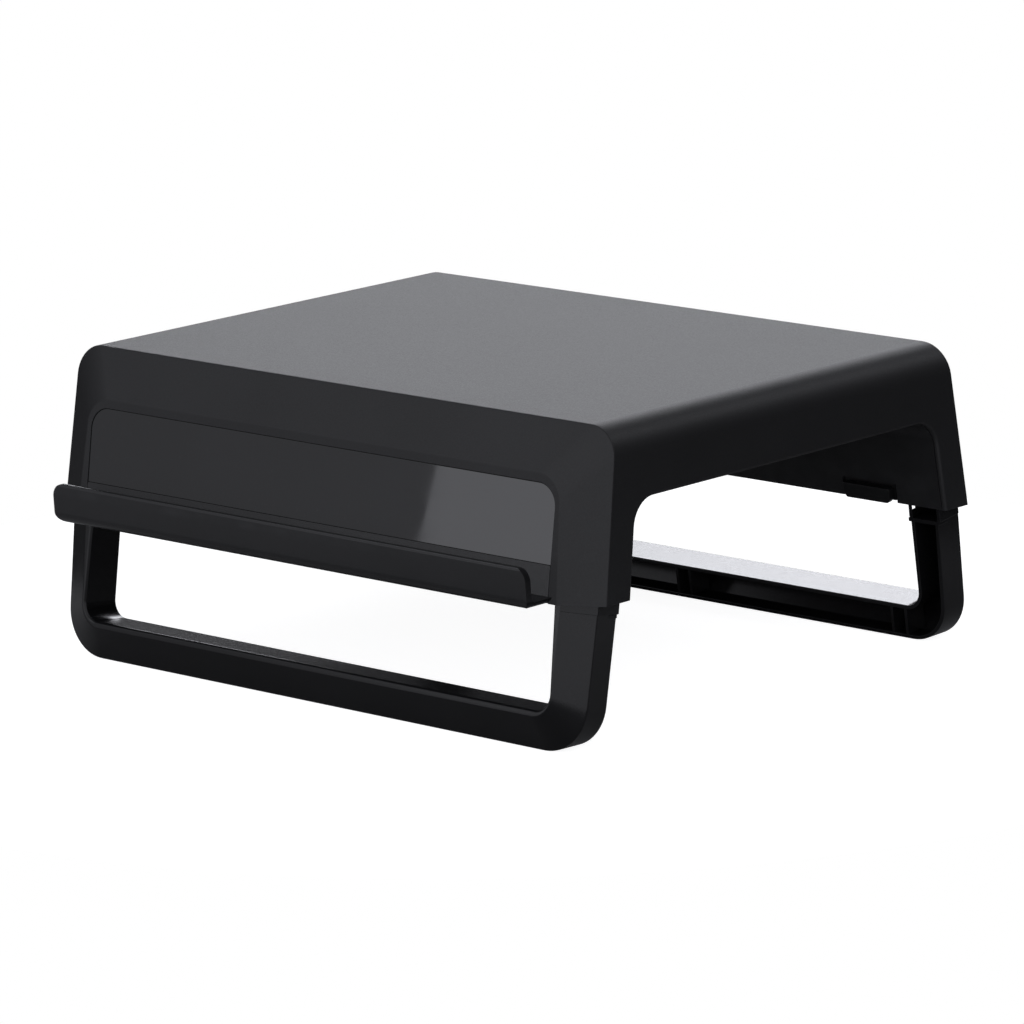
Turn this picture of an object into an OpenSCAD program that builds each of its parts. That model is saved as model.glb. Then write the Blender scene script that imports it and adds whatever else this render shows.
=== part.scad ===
// Monitor riser stand: a double-walled cover that stands on two telescoping leg frames.
// Millimetres. +Z is up, +X runs to the right along the front, -Y is the front.
// The origin is on the floor, under the middle of the whole stand.
// Everything is drawn at rest, with the legs drawn out to the tallest setting.

/* [Cover] */
// Height of the top face above the floor, legs drawn out
riser_h = 157; // [130:1:180]
// Width across the cover's lower edge
cover_w = 365.8; // [320:0.1:460]
// Front to back length of the flat top
top_d = 251.5; // [220:0.5:320]
// Height of the cover from its lower edge to the top face
cover_h = 83.6; // [78:0.1:100]
// Lean of the front, the back and the legs from upright, in degrees
lean = 8.3; // [5:0.1:11]
// Lean of the cover's two sides from upright, in degrees
side_lean = 2; // [0:0.1:4]
// Radius along the two side edges of the top
edge_r = 16; // [10:0.5:20]
// Wall of the cover's sides
wall = 2.2; // [1.8:0.1:3]
// Wall of the top plate
top_wall = 2.6; // [2:0.1:4]
// Height of the side arches above the cover's lower edge
arch_h = 46.9; // [40:0.1:52]
// Radius of the side arches' upper corners
arch_r = 15; // [8:0.5:20]

/* [Front and back faces] */
// Width of the bevelled border beside the raised field, at the lower edge
border_w = 21; // [16:0.5:26]
// Height of the bevelled border above the raised field
border_h = 23.4; // [20:0.1:28]
// How much the raised field narrows with height
field_taper = 0.06; // [0:0.005:0.08]
// Radius of the raised field's upper corners
field_r = 14; // [8:0.5:20]
// How far the border rises over the glossy panel
recess_step = 0.4; // [0.2:0.1:3]
// Skin left behind the panel
skin = 2.9; // [1:0.1:4]

/* [Device panel and tray] */
// Thickness of the glossy panel
panel_t = 1.1; // [0.8:0.1:1.5]
// Gap between the field's edge and the panel, at the top
panel_edge = 4.4; // [3:0.1:6]
// Height of the tray's back plate above the cover's lower edge
tray_back_h = 17.8; // [12:0.1:24]
// Thickness of the tray's back plate
tray_back_t = 1.5; // [1.2:0.1:2]
// Thickness of the tray's floor
tray_floor_t = 3.4; // [2.5:0.1:5]
// Thickness of the tray's lip
lip_t = 3.6; // [2.5:0.1:5]
// Height of the lip's top above the cover's lower edge
lip_h = 20.8; // [15:0.1:30]
// Forward lean of the lip over its own height
lip_lean = 1.1; // [0:0.1:3]
// Clear width of the device slot at the tray's floor
slot_w = 14.7; // [12:0.1:22]
// Outer radius under the lip
tray_r = 6.2; // [5:0.1:9]
// Corner radius at the lip's two ends
lip_end_r = 6.4; // [2:0.1:8]

/* [Leg frames] */
// Depth of a leg at its outer side
leg_side_d = 15.4; // [13:0.1:18]
// Depth of a leg at the raised rim round its opening
leg_rim_d = 23.2; // [20:0.1:26]
// Wall of the hollow moulding
leg_wall = 2.2; // [1.8:0.1:3]
// Width of a leg where it enters the cover
stem_w = 21.6; // [19:0.1:26]
// Gap from the cover's lower side edge to the leg
leg_inset = 5.7; // [5:0.1:8]
// How much the leg narrows with depth below the collar
leg_taper = 0.036; // [0:0.002:0.05]
// Length of collar that shows below the cover
collar_show = 7.4; // [5:0.1:12]
// Length of leg inside the cover
stem_in = 38; // [30:0.5:40]
// Height of the bottom bar at the rim
bar_h = 21; // [17:0.1:26]
// Radius of the frame's outer lower corners, at its face
leg_r = 25; // [20:0.5:34]
// The same radius at the frame's open back
leg_back_r = 22; // [16:0.5:30]
// Radius of the opening's lower corners
hole_r = 9; // [5:0.5:14]
// How much the opening widens downward at its rim
hole_flare = 0.033; // [0:0.003:0.06]
// Distance between two height settings
height_step = 20; // [15:0.5:20]

/* [Latches] */
// Width of the thumb tab
tab_w = 29.8; // [24:0.1:36]
// Height of the thumb tab
tab_h = 7.8; // [6:0.1:10]
// How far the tab stands out of the inner wall
tab_out = 2.8; // [2:0.1:4]
// Sliding travel from free to locked
latch_travel = 2.4; // [2:0.1:3]
// Height of the bolt
bolt_h = 4.8; // [4:0.1:6]

/* [Feet and screws] */
// Length of a rubber foot strip
foot_l = 21; // [14:0.5:28]
// Width of a rubber foot strip
foot_w = 9; // [6:0.5:11]
// How far a foot stands out below the bar
foot_out = 0.5; // [0.3:0.1:2]
// Shank radius of the screws
screw_r = 1.4; // [1.2:0.1:1.6]

/* [Hidden] */
$fn = 64;
eps = 0.01;
hull_fn = 48;

slide_gap = 0.4;
seat_gap = 0.2;
lean_s = tan(lean);
lean_c = cos(lean);
lean_n = sin(lean);
side_s = tan(side_lean);

cover_z = riser_h - cover_h;
cover_half = cover_w / 2;
cover_half_floor = cover_half + side_s * cover_z;

// depths are measured along a leaning face's normal, outward from the leg's open back
outline_d = leg_side_d + 0.8;
skin_back_d = leg_rim_d + slide_gap;
recess_d = skin_back_d + skin;
panel_d = recess_d + panel_t;
field_d = panel_d + recess_step;
cavity_d = outline_d - wall / 2;
border_rise = field_d - outline_d;
cavity_rise = skin_back_d - cavity_d;

outline_y = top_d / 2 + riser_h * lean_s;
leg_y = outline_y - outline_d / lean_c;

field_half = cover_half - border_w;
field_z = riser_h - border_h;
cavity_half = cover_half - wall - cavity_rise * border_w / border_rise;
cavity_z = riser_h - top_wall - cavity_rise * border_h / border_rise;

liner_t = 1.2;
liner_back_d = -slide_gap;
liner_face_d = liner_back_d - liner_t;
arch_z = cover_z + arch_h;
ceiling_z = arch_z + liner_t;

leg_half = cover_half - leg_inset;
stem_x = leg_half - stem_w;
collar_low = up_at(0, cover_z) - collar_show;
collar_step = 1.5;
corner_step = 0.3;
collar_cut = 2.2;
hole_back_x = stem_x + 2.6;
hole_rim_x = stem_x + 0.3;
rim_w = 3;
rim_x = stem_x + 4.6;
bar_rim_up = up_at(leg_rim_d, bar_h);
bar_back_up = bar_rim_up + 0.5;
rim_low_up = bar_rim_up - 3.3;
full_depth_up = collar_low + 17.6;
stem_top_up = up_at(0, cover_z) + stem_in;
stem_d = leg_side_d - 2.4;
bar_z = foot_out;
bar_rib = 4.3;
bar_rib_in = 7.5;
foot_in = 15;

bolt_low = collar_low + 22.9;
bolt_d0 = 2;
bolt_d1 = 7;
plate_t = 2;
tab_x1 = stem_x - 6.2;
tab_x0 = tab_x1 - tab_w;
window_top = up_at(liner_face_d, cover_z) + tab_h + 2;
plate_top = bolt_low + bolt_h + 0.4;
keeper_x0 = tab_x0 - 7.5;
keeper_x1 = tab_x1 - 10.5;
keeper_up = plate_top + 6;
keeper_d = liner_back_d + seat_gap + plate_t + seat_gap;
keeper_t = 1.8;
keeper_top = keeper_up + 4.5;

tray_half = field_half - 2.7;
ledge_w = 3;
panel_gap = 0.15;
panel_half = field_half - field_taper * (cover_h - border_h - field_r) - ledge_w;
panel_top = up_at(panel_d, field_z - panel_edge);
tray_back_d = recess_d + tray_back_t;
tray_floor_z = cover_z + tray_floor_t;
slot_back_y = leg_y + tray_back_d / lean_c - lean_s * tray_floor_z;
lip_in_y = slot_back_y + slot_w;
lip_y = lip_in_y + lip_t;
lip_z = cover_z + lip_h;
tray_screw_in = 33.6;
tray_screw_x = [(tray_half - tray_screw_in) / 2.75, tray_half - tray_screw_in];
tray_screw_up = up_at(recess_d, cover_z + 10.5);

shell_screw_x = [0, 105];
shell_screw_y = 78;
boss_r = 4.2;
screw_l = 12;
top_rib_h = 10;
top_rib_x = [shell_screw_x[1] / 2, shell_screw_x[1]];
top_rib_y = 40;
ceiling_rib_h = 6;
ceiling_rib_y = [20, 62];
spare = 40;

front_reach = lip_y + lip_lean;
rear_reach = leg_y + leg_rim_d / lean_c - lean_s * z_at(leg_rim_d, rim_low_up);
origin_y = (front_reach - rear_reach) / 2;

cover_colour = [0.16, 0.16, 0.17];
frame_colour = [0.1, 0.1, 0.11];
tray_colour = [0.14, 0.14, 0.15];
panel_colour = [0.2, 0.2, 0.24];
latch_colour = [0.3, 0.12, 0.1];
keeper_colour = [0.2, 0.35, 0.5];
rubber_colour = [0.05, 0.05, 0.05];
steel_colour = [0.6, 0.6, 0.62];

// distance up a leaning face, for a world height, at one depth
function up_at(depth, z) = (z - depth * lean_n) / lean_c;

// world height, for a distance up a leaning face, at one depth
function z_at(depth, up) = up * lean_c + depth * lean_n;

// Moves the drawing so that the origin is under the middle of the stand.
module placed() {
    translate([0, origin_y, 0])
        children();
}

// Leaning front face: X across, Y up the face, Z outward from the leg's open back.
module front_face() {
    translate([0, -leg_y, 0])
        rotate([90 - lean, 0, 0])
            children();
}

// Front or rear face, from a piece drawn for the front.
module face(front) {
    mirror([0, front ? 0 : 1, 0])
        front_face()
            children();
}

// One corner of the stand, from a piece drawn for the front right.
module corner(front, right) {
    placed()
        face(front)
            mirror([right ? 0 : 1, 0, 0])
                children();
}

// Trapezoid standing on the X axis, with its upper corners rounded.
module arch_2d(half, slope, low, high, r) {
    side = atan(slope);
    up = high - r;
    cx = half - slope * up - r / cos(side);
    tx = cx + r * cos(side);
    ty = up + r * sin(side);
    polygon([
        [half - slope * low, low],
        [tx, ty],
        [cx, high],
        [-cx, high],
        [-tx, ty],
        [-half + slope * low, low]
    ]);
    for (s = [-1, 1])
        translate([s * cx, up])
            circle(r);
}

// Thin slice of a leaning shape, for hulls; depth is its outer face.
module slice(depth) {
    thin = 0.2;
    translate([0, 0, depth - thin])
        linear_extrude(thin)
            children();
}

// Prism along X from an outline in Y and Z.
module along_x(length) {
    rotate([90, 0, 90])
        linear_extrude(length, center = true)
            children();
}

// Prism along Y from an outline in X and Z.
module along_y(length) {
    rotate([90, 0, 0])
        linear_extrude(length, center = true)
            children();
}

// Prism up a leaning face from an outline in X and depth.
module up_face(low, high) {
    translate([0, high, 0])
        rotate([90, 0, 0])
            linear_extrude(high - low)
                children();
}

// Cover's cross section, seen from the front.
module cover_2d(inset, top_inset, low) {
    arch_2d(cover_half_floor - inset, side_s, low, riser_h - top_inset, edge_r - inset);
}

// Main block of the cover, or its hollow when it is inset.
module cover_block(inset, top_inset, low) {
    reach = outline_y - inset / lean_c;
    intersection() {
        along_y(2 * outline_y)
            cover_2d(inset, top_inset, low);
        along_x(cover_w + spare)
            polygon([
                [-reach, 0],
                [reach, 0],
                [reach - riser_h * lean_s, riser_h],
                [-reach + riser_h * lean_s, riser_h]
            ]);
    }
}

// Cover's outline as it meets a leaning plane.
module outline_2d(depth, inset, top_inset, low) {
    arch_2d(
        cover_half_floor - inset - side_s * depth * lean_n,
        side_s * lean_c,
        up_at(depth, low),
        up_at(depth, riser_h - top_inset),
        edge_r - inset
    );
}

// Raised field on a leaning plane.
module field_2d(depth, half, top_z, low, r) {
    arch_2d(
        half + field_taper * up_at(depth, cover_z),
        field_taper,
        up_at(depth, low),
        up_at(depth, top_z),
        r
    );
}

// Bevelled bulge on one leaning face, or its hollow when it is inset; lap is sunk into the block.
module bulge(depth, rise, lap, inset, top_inset, half, top_z, low) {
    hull() {
        slice(depth - lap)
            outline_2d(depth - lap, inset, top_inset, low, $fn = hull_fn);
        slice(depth)
            outline_2d(depth, inset, top_inset, low, $fn = hull_fn);
        slice(depth + rise)
            field_2d(depth + rise, half, top_z, low, field_r, $fn = hull_fn);
    }
}

// Outline of the glossy panel, or of its recess.
module panel_2d(grow, low) {
    arch_2d(panel_half + grow, 0, low, panel_top + grow, field_r - ledge_w + grow);
}

// Recess for the device panel, open at the cover's lower edge.
module device_recess() {
    translate([0, 0, recess_d])
        linear_extrude(panel_t + recess_step + 1)
            panel_2d(panel_gap, up_at(field_d, cover_z) - 3);
}

module side_arches() {
    face_y = leg_y + liner_face_d / lean_c;
    along_x(cover_w + spare)
        arch_2d(face_y, lean_s, cover_z - 3, arch_z, arch_r);
}

module top_ribs() {
    rib = 1.8;
    rib_x = stem_x - 8;
    rib_y = top_d / 2 - 32;
    z = riser_h - top_wall - top_rib_h;
    for (s = [-1, 1])
        for (x = top_rib_x)
            translate([s * x - rib / 2, -rib_y, z])
                cube([rib, 2 * rib_y, top_rib_h + 1]);
    for (y = [-top_rib_y, 0, top_rib_y])
        translate([-rib_x, y - rib / 2, z])
            cube([2 * rib_x, rib, top_rib_h + 1]);
}

module shell_screw_places() {
    for (x = shell_screw_x)
        for (sx = x == 0 ? [1] : [-1, 1])
            for (sy = [-1, 1])
                translate([sx * x, sy * shell_screw_y, 0])
                    children();
}

module tray_screw_places() {
    front_face()
        for (x = tray_screw_x)
            for (s = [-1, 1])
                translate([s * x, tray_screw_up, 0])
                    children();
}

module outer_shell() {
    hairline = 0.15;
    lap = 0.8;
    under = 2;
    color(cover_colour)
        placed()
            difference() {
                union() {
                    difference() {
                        union() {
                            cover_block(0, 0, cover_z - under);
                            for (front = [true, false])
                                face(front)
                                    bulge(
                                        outline_d,
                                        border_rise,
                                        lap,
                                        hairline,
                                        hairline,
                                        field_half,
                                        field_z,
                                        cover_z - under
                                    );
                        }
                        translate([-cover_w, -cover_w, cover_z - 20])
                            cube([2 * cover_w, 2 * cover_w, 20]);
                        cover_block(wall, top_wall, cover_z - 2 * under);
                        for (front = [true, false])
                            face(front)
                                bulge(
                                    cavity_d,
                                    cavity_rise,
                                    wall / 2 + lap,
                                    wall + hairline,
                                    top_wall + hairline,
                                    cavity_half,
                                    cavity_z,
                                    cover_z - 2 * under
                                );
                        side_arches();
                        front_face()
                            device_recess();
                    }
                    top_ribs();
                    shell_screw_places()
                        translate([0, 0, ceiling_z])
                            cylinder(h = riser_h - ceiling_z - 1, r = boss_r);
                }
                shell_screw_places()
                    translate([0, 0, ceiling_z - 1])
                        cylinder(h = 15, r = screw_r + 0.1);
                tray_screw_places()
                    translate([0, 0, skin_back_d - 1])
                        cylinder(h = 5, r = screw_r + 1.2);
            }
}

// Latch window, drawn for the front right corner.
module latch_window() {
    translate([tab_x0 - 2, 0, liner_face_d - 1])
        cube([tab_w + 4 + slide_gap, window_top, liner_t + 2]);
}

// Bosses and guide beside one leg, drawn for the front right corner.
module latch_mount() {
    guide_x = stem_x - 0.6;
    guide_t = 1.6;
    for (x = [keeper_x0 + 5.5, keeper_x1 - 5.5])
        translate([x, keeper_up, liner_back_d - 0.5])
            cylinder(h = keeper_d - liner_back_d + 0.5, r = 3.2);
    difference() {
        translate([guide_x - guide_t, up_at(0, cover_z) + 2, liner_back_d - 0.5])
            cube([guide_t, arch_h - arch_r - 4, 12]);
        translate([guide_x - guide_t - 1, bolt_low - 0.6, bolt_d0 - 0.6])
            cube([guide_t + 2, bolt_h + 1.2, bolt_d1 - bolt_d0 + 1.2]);
    }
}

module liner() {
    face_y = leg_y + liner_face_d / lean_c;
    back_y = leg_y + liner_back_d / lean_c;
    intersection() {
        along_x(cover_w + spare)
            difference() {
                arch_2d(back_y, lean_s, cover_z, ceiling_z, arch_r + liner_t);
                arch_2d(face_y, lean_s, cover_z - 1, arch_z, arch_r);
            }
        along_y(2 * outline_y)
            cover_2d(wall + slide_gap, top_wall, cover_z);
    }
}

module ceiling_ribs() {
    rib = 1.6;
    for (s = [-1, 1])
        for (y = ceiling_rib_y)
            translate([-stem_x, s * y - rib / 2, ceiling_z - 0.5])
                cube([2 * stem_x, rib, ceiling_rib_h + 0.5]);
}

module inner_shell() {
    color(cover_colour)
        placed()
            difference() {
                union() {
                    liner();
                    ceiling_ribs();
                    for (front = [true, false])
                        for (s = [0, 1])
                            face(front)
                                mirror([s, 0, 0])
                                    latch_mount();
                }
                for (front = [true, false])
                    for (s = [0, 1])
                        face(front)
                            mirror([s, 0, 0]) {
                                latch_window();
                                keeper_screw_places()
                                    translate([0, 0, liner_back_d - 0.6])
                                        cylinder(h = 5, r = screw_r + 0.1);
                            }
                shell_screw_places()
                    translate([0, 0, arch_z - 1])
                        cylinder(h = liner_t + 10, r = screw_r + 0.4);
            }
}

module device_panel() {
    low = up_at(recess_d, cover_z + tray_back_h + 0.2);
    color(panel_colour)
        placed()
            front_face()
                translate([0, 0, recess_d])
                    linear_extrude(panel_t)
                        panel_2d(0, low);
}

// Tray's floor and lip, in Y and Z; front is -Y.
module tray_2d() {
    cy = -lip_y + tray_r;
    cz = cover_z + tray_r;
    translate([cy, cover_z])
        square([lip_y - tray_r - slot_back_y + 1, tray_floor_t]);
    polygon([
        [-lip_y, cz],
        [-lip_in_y, cz],
        [-lip_in_y - lip_lean, lip_z],
        [-lip_y - lip_lean, lip_z]
    ]);
    intersection() {
        translate([cy - tray_r, cover_z])
            square(tray_r + eps);
        difference() {
            translate([cy, cz])
                circle(tray_r);
            translate([cy, cz])
                circle(tray_r - (lip_t + tray_floor_t) / 2);
        }
    }
}

// Rounds the tray's two ends, seen from the front.
module tray_ends() {
    along_y(4 * outline_y)
        union() {
            translate([-tray_half + lip_end_r, cover_z - 1])
                square([2 * (tray_half - lip_end_r), lip_h + 2]);
            translate([-tray_half, cover_z + lip_end_r])
                square([2 * tray_half, lip_h - 2 * lip_end_r]);
            for (s = [-1, 1])
                for (z = [cover_z + lip_end_r, lip_z - lip_end_r])
                    translate([s * (tray_half - lip_end_r), z])
                        circle(lip_end_r);
        }
}

module device_tray() {
    low = up_at(recess_d, cover_z);
    color(tray_colour)
        placed()
            difference() {
                union() {
                    intersection() {
                        along_x(2 * tray_half)
                            tray_2d();
                        tray_ends();
                        front_face() {
                            translate([-tray_half, 0, field_d + panel_gap])
                                cube([2 * tray_half, riser_h, 2 * spare]);
                            translate([-panel_half, 0, tray_back_d - 0.2])
                                cube([2 * panel_half, riser_h, 1]);
                        }
                    }
                    front_face()
                        translate([-panel_half, low, recess_d])
                            cube([2 * panel_half, tray_back_h / lean_c, tray_back_t]);
                    tray_screw_places()
                        translate([0, 0, skin_back_d + 0.1])
                            cylinder(h = skin + 1, r = screw_r + 1);
                }
                tray_screw_places()
                    translate([0, 0, skin_back_d - 1])
                        cylinder(h = skin + 2.1, r = screw_r + 0.1);
            }
}

// Solid leg frame below the collar, or its core when it is inset.
module leg_block(inset) {
    back_half = leg_half - collar_step - inset;
    side_half = leg_half - corner_step - inset;
    back = inset > 0 ? -1 : 0;
    hull() {
        slice(back + 0.2)
            u_2d(back_half, leg_taper, up_at(back, bar_z) + inset, collar_low, leg_back_r - inset);
        slice(leg_side_d - inset)
            u_2d(side_half, leg_taper, up_at(leg_side_d, bar_z) + inset, collar_low, leg_r - inset);
        slice(leg_rim_d - inset)
            u_2d(rim_x, leg_taper, rim_low_up, collar_low, hole_r + rim_w);
    }
}

// Outline with rounded lower corners; half is its half width at the collar, and it narrows downward.
module u_2d(half, taper, low, high, r) {
    mirror([0, 1])
        arch_2d(half - taper * collar_low, taper, -high, -low, r, $fn = hull_fn);
}

// Opening of a leg frame, or a larger one that leaves its inner wall.
module leg_hole(grow) {
    high = stem_top_up + 5;
    hull() {
        slice(-1)
            u_2d(hole_back_x + grow, 0, bar_back_up - grow, high, hole_r + grow);
        slice(leg_rim_d - 1.2)
            u_2d(hole_rim_x + grow, -hole_flare, bar_rim_up - grow, high, hole_r + grow);
        slice(leg_rim_d + 1)
            u_2d(hole_rim_x + 1.6 + grow, -hole_flare, bar_rim_up - 1.6 - grow, high, hole_r + grow);
    }
}

// Collar and stem of the right leg.
module stem() {
    chamfer = 8;
    up_face(collar_low - 2, full_depth_up)
        polygon([
            [stem_x + collar_cut, 0],
            [leg_half, 0],
            [leg_half, leg_side_d],
            [rim_x, leg_rim_d],
            [stem_x + 1.2, leg_rim_d],
            [stem_x, leg_rim_d - 1.6],
            [stem_x, collar_cut]
        ]);
    linear_extrude(stem_d)
        polygon([
            [stem_x, full_depth_up - 1],
            [leg_half, full_depth_up - 1],
            [leg_half, stem_top_up - chamfer],
            [leg_half - chamfer, stem_top_up],
            [stem_x, stem_top_up]
        ]);
}

// Hollow of the right stem, open at its back.
module stem_hollow() {
    chamfer = 8;
    low_d = leg_side_d - leg_wall;
    up_face(collar_low - 3, full_depth_up - leg_wall)
        polygon([
            [stem_x + leg_wall + collar_cut, -1],
            [leg_half - leg_wall, -1],
            [leg_half - leg_wall, low_d - 0.6],
            [rim_x, leg_rim_d - leg_wall - 0.6],
            [stem_x + leg_wall, leg_rim_d - leg_wall - 0.6],
            [stem_x + leg_wall, collar_cut],
            [stem_x + leg_wall + collar_cut, 0]
        ]);
    translate([0, 0, -1])
        linear_extrude(stem_d - leg_wall + 1)
            polygon([
                [stem_x + leg_wall, full_depth_up - leg_wall - 1],
                [leg_half - leg_wall, full_depth_up - leg_wall - 1],
                [leg_half - leg_wall, stem_top_up - chamfer - 1],
                [leg_half - chamfer - 1, stem_top_up - leg_wall],
                [stem_x + leg_wall, stem_top_up - leg_wall]
            ]);
}

// Cross ribs inside the hollow moulding.
module leg_ribs() {
    rib = 1.8;
    for (s = [-1, 1])
        for (x = [bar_rib, stem_x - bar_rib_in, stem_x - bar_rib_in - 9])
            translate([s * x - rib / 2, 1.5, 0.4])
                cube([rib, bar_rim_up - 2, leg_side_d - 2]);
    for (s = [0, 1])
        mirror([s, 0, 0])
            for (up = [collar_low - 2, full_depth_up - leg_wall - 2])
                translate([stem_x + 1, up, 0.2])
                    cube([stem_w - 2, 2, stem_d - 2]);
}

// Slots that take the latch bolt, at the tallest and the middle setting.
module bolt_slots() {
    for (up = [bolt_low, bolt_low - height_step])
        translate([stem_x - 1, up - 0.3, bolt_d0 - 0.4])
            cube([leg_wall + 2, bolt_h + 0.6, bolt_d1 - bolt_d0 + 0.8]);
}

module foot_2d(grow) {
    half = foot_l / 2 - foot_w / 2;
    r = foot_w / 2 + grow;
    for (s = [-1, 1])
        translate([s * half, 0])
            circle(r);
    square([2 * half, 2 * r], center = true);
}

// Foot place under the front right corner, on the world's floor plane.
module foot_place() {
    translate([stem_x - foot_in, -leg_y - leg_side_d / 2 / lean_c, 0])
        children();
}

module leg_frame(front) {
    color(frame_colour)
        placed()
            mirror([0, front ? 0 : 1, 0])
                difference() {
                    front_face()
                        difference() {
                            union() {
                                difference() {
                                    union() {
                                        difference() {
                                            leg_block(0);
                                            leg_hole(0);
                                        }
                                        for (s = [0, 1])
                                            mirror([s, 0, 0])
                                                stem();
                                    }
                                    difference() {
                                        leg_block(leg_wall);
                                        leg_hole(leg_wall);
                                        translate([-cover_half, collar_low - 2, -1])
                                            cube([cover_w, 4, 40]);
                                    }
                                    for (s = [0, 1])
                                        mirror([s, 0, 0])
                                            stem_hollow();
                                }
                                leg_ribs();
                            }
                            for (s = [0, 1])
                                mirror([s, 0, 0])
                                    bolt_slots();
                        }
                    for (s = [0, 1])
                        mirror([s, 0, 0])
                            foot_place()
                                linear_extrude(bar_z + 0.8)
                                    foot_2d(0.1);
                }
}

// Sliding latch, drawn for the front right corner, in its free place.
module latch() {
    tab_low = up_at(liner_face_d, cover_z);
    plate_d = liner_back_d + seat_gap;
    cut = 2;
    color(latch_colour) {
        translate([0, 0, liner_face_d - tab_out])
            linear_extrude(tab_out + liner_t + seat_gap + eps)
                polygon([
                    [tab_x0, tab_low + cut],
                    [tab_x0 + cut, tab_low],
                    [tab_x1 - cut, tab_low],
                    [tab_x1, tab_low + cut],
                    [tab_x1, tab_low + tab_h],
                    [tab_x0, tab_low + tab_h]
                ]);
        translate([tab_x0 - 5, tab_low + 0.6, plate_d])
            cube([tab_w + 6, plate_top - tab_low - 0.6, plate_t]);
        translate([tab_x1 - 8, bolt_low, plate_d + plate_t - eps])
            cube([stem_x - 0.3 - tab_x1 + 8, bolt_h, bolt_d1 - plate_d - plate_t]);
    }
}

module keeper_screw_places() {
    for (x = [keeper_x0 + 5.5, keeper_x1 - 5.5])
        translate([x, keeper_up, 0])
            children();
}

// Strap that holds the latch plate to the inner wall, drawn for the front right corner.
module keeper() {
    low = up_at(0, cover_z) + 4;
    color(keeper_colour)
        difference() {
            translate([keeper_x0, low, keeper_d])
                cube([keeper_x1 - keeper_x0, keeper_top - low, keeper_t]);
            keeper_screw_places()
                translate([0, 0, keeper_d - 1])
                    cylinder(h = keeper_t + 2, r = screw_r + 0.3);
            translate([keeper_x0 + 8, low + 5, keeper_d - 1])
                cube([keeper_x1 - keeper_x0 - 16, 8, keeper_t + 2]);
        }
}

module foot(front, right) {
    color(rubber_colour)
        placed()
            mirror([0, front ? 0 : 1, 0])
                mirror([right ? 0 : 1, 0, 0])
                    foot_place()
                        linear_extrude(bar_z + 0.8)
                            foot_2d(0);
}

// Pan head screw with its head below Z = 0 and its shank above.
module screw(length, head_r, head_h) {
    difference() {
        translate([0, 0, -head_h])
            cylinder(h = head_h, r = head_r);
        translate([-head_r / 2, -0.3, -head_h - 1])
            cube([head_r, 0.6, 1 + head_h / 3]);
        translate([-0.3, -head_r / 2, -head_h - 1])
            cube([0.6, head_r, 1 + head_h / 3]);
    }
    translate([0, 0, -eps])
        cylinder(h = length, r = screw_r);
}

module shell_screws() {
    color(steel_colour)
        placed()
            shell_screw_places()
                translate([0, 0, arch_z])
                    screw(screw_l, 3.4, 2.2);
}

module keeper_screws() {
    color(steel_colour)
        placed()
            for (front = [true, false])
                for (s = [0, 1])
                    face(front)
                        mirror([s, 0, 0])
                            keeper_screw_places()
                                translate([0, 0, keeper_d + keeper_t])
                                    mirror([0, 0, 1])
                                        screw(4, 2.6, 1.6);
}

module tray_screws() {
    color(steel_colour)
        placed()
            tray_screw_places()
                translate([0, 0, skin_back_d])
                    screw(2.2, 4.6, 1.8);
}

outer_shell();
inner_shell();
device_panel();
device_tray();
leg_frame(true);  // front_leg_frame
leg_frame(false);  // rear_leg_frame
corner(true, false) latch();  // latch_front_left
corner(true, true) latch();  // latch_front_right
corner(false, false) latch();  // latch_rear_left
corner(false, true) latch();  // latch_rear_right
corner(true, false) keeper();  // keeper_front_left
corner(true, true) keeper();  // keeper_front_right
corner(false, false) keeper();  // keeper_rear_left
corner(false, true) keeper();  // keeper_rear_right
foot(true, false);  // foot_front_left
foot(true, true);  // foot_front_right
foot(false, false);  // foot_rear_left
foot(false, true);  // foot_rear_right
shell_screws();
keeper_screws();
tray_screws();
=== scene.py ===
from math import atan, cos, pi, radians, sin, tan

import bmesh
import bpy
from mathutils import Matrix, Quaternion, Vector


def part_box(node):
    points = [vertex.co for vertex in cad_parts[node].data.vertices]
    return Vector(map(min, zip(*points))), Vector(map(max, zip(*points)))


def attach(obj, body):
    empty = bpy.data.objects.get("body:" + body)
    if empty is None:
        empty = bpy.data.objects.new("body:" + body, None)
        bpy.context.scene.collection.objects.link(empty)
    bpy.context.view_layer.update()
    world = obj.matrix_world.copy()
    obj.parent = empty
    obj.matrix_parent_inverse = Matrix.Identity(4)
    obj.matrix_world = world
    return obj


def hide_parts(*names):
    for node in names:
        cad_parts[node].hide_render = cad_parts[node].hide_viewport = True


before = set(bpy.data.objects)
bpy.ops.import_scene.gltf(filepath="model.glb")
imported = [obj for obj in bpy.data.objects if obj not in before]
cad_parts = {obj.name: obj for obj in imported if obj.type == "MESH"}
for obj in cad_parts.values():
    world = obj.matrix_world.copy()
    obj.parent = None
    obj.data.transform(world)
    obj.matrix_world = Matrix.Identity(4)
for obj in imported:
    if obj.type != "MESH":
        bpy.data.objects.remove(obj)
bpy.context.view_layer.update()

# ---------------------------------------------------------------- sizes
# Shapes are drawn in millimetres, in the coordinates of the front face or of
# the stand before it is centred, and are scaled to metres at the end.
MM = 0.001


def node_box(name):
    return [[v / MM for v in corner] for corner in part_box(name)]


shell_low, shell_high = node_box("outer_shell")
panel_low, panel_high = node_box("device_panel")
tray_high = node_box("device_tray")[1]

ORIGIN_Y = (shell_low[1] + shell_high[1]) / 2
RISER_H = shell_high[2]
COVER_Z = shell_low[2]
COVER_HALF = shell_high[0]

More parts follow.
